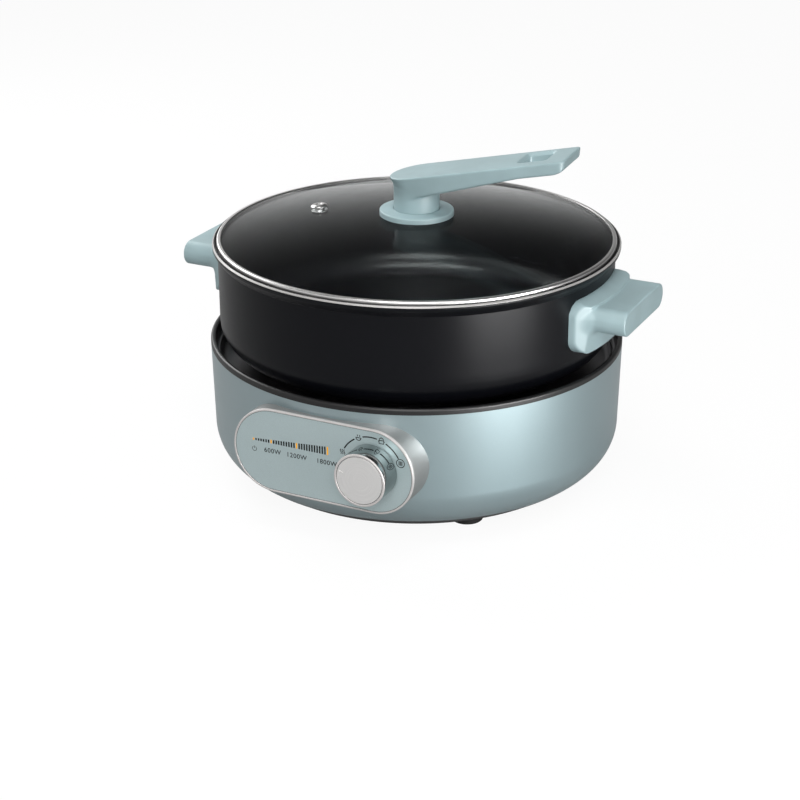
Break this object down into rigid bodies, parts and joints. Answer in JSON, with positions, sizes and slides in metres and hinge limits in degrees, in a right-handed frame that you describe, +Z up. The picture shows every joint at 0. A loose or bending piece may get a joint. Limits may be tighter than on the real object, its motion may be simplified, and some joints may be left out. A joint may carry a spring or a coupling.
{
  "type": "electric hot pot with lid",
  "caption": "Electric hot pot: round heated base with dial panel, lift-out non-stick pot with side handles, and a lift-off glass lid with an angled handle.",
  "frame": {"origin": "on the worktop, on the vertical axis of the pot", "axes": "+Z up; -Y towards the control panel and the user; the pot handles lie along X"},
  "size_m": [0.3682, 0.3435, 0.2626],
  "materials": {
    "housing": "satin metallic paint",
    "ring_black": "moulded",
    "well_steel": "aluminised",
    "cast_alloy": "cast",
    "sheathed_tube": "dark oxide",
    "steel": "plain",
    "black_plastic": "fine texture",
    "foot_rubber": "matt",
    "board": "laminate",
    "panel_side": "brushed",
    "bright_trim": "polished",
    "panel_face": "fine metallic",
    "dark_window": "smooth",
    "amber_window": "translucent",
    "clear_plastic": "translucent",
    "knob_chrome": "polished",
    "knob_face": "spun",
    "spring_steel": "plain",
    "pot_black": "non-stick coating",
    "sole": "spun",
    "aqua_plastic": "fine texture",
    "lid_glass": "clear, slightly smoked",
    "lid_steel": "polished",
    "silicone": "translucent white"
  },
  "bodies": {
    "base": {"base_shell": "housing", "top_ring": "ring_black", "heat_well": "well_steel", "heating_plate": "cast_alloy", "heating_element": "sheathed_tube", "plate_standoffs": "steel", "plate_screws": "steel", "heat_shield": "well_steel", "sensor_guide": "black_plastic", "thermal_cutout": "black_plastic", "frame_posts": "black_plastic", "bottom_cover": "black_plastic", "feet": "foot_rubber", "cover_screws": "steel", "power_board": "board", "control_housing": "panel_side", "trim_ring": "bright_trim", "control_face": "panel_face", "dark_bars": "dark_window", "amber_bars": "amber_window", "light_guide": "clear_plastic", "control_board": "board", "rotary_switch": "black_plastic", "inlet_socket": "black_plastic", "inlet_pins": "steel"},
    "knob": {"knob_cap": "knob_chrome", "knob_disc": "knob_face", "knob_shaft": "steel"},
    "sensor": {"sensor_cap": "steel", "sensor_clip": "steel", "sensor_spring": "spring_steel"},
    "pot": {"pot_body": "pot_black", "pot_sole": "sole", "handle_right": "aqua_plastic", "handle_left": "aqua_plastic", "handle_brackets": "steel", "handle_screws": "steel"},
    "lid": {"lid_glass": "lid_glass", "lid_ring": "lid_steel", "vent_eyelet": "lid_steel", "lid_disc": "aqua_plastic", "lid_handle": "aqua_plastic", "lid_gasket": "silicone", "lid_washer": "steel", "lid_screw": "steel"}
  },
  "joints": [
    {"name": "knob_turn", "type": "hinge", "parent": "base", "child": "knob", "pos_m": [0.044, -0.163, 0.067], "axis": [0, 1, 0], "range_deg": [0, 140]},
    {"name": "sensor_press", "type": "slide", "parent": "base", "child": "sensor", "axis": [0, 0, 1], "range_m": [-0.002, 0], "stiffness_N_per_m": 600, "springref_m": 0.003, "deforming": ["sensor_spring"]},
    {"name": "pot_lift", "type": "slide", "parent": "base", "child": "pot", "axis": [0, 0, 1], "range_m": [0, 0.09]},
    {"name": "lid_lift", "type": "slide", "parent": "pot", "child": "lid", "axis": [0, 0, 1], "range_m": [0, 0.09]}
  ]
}
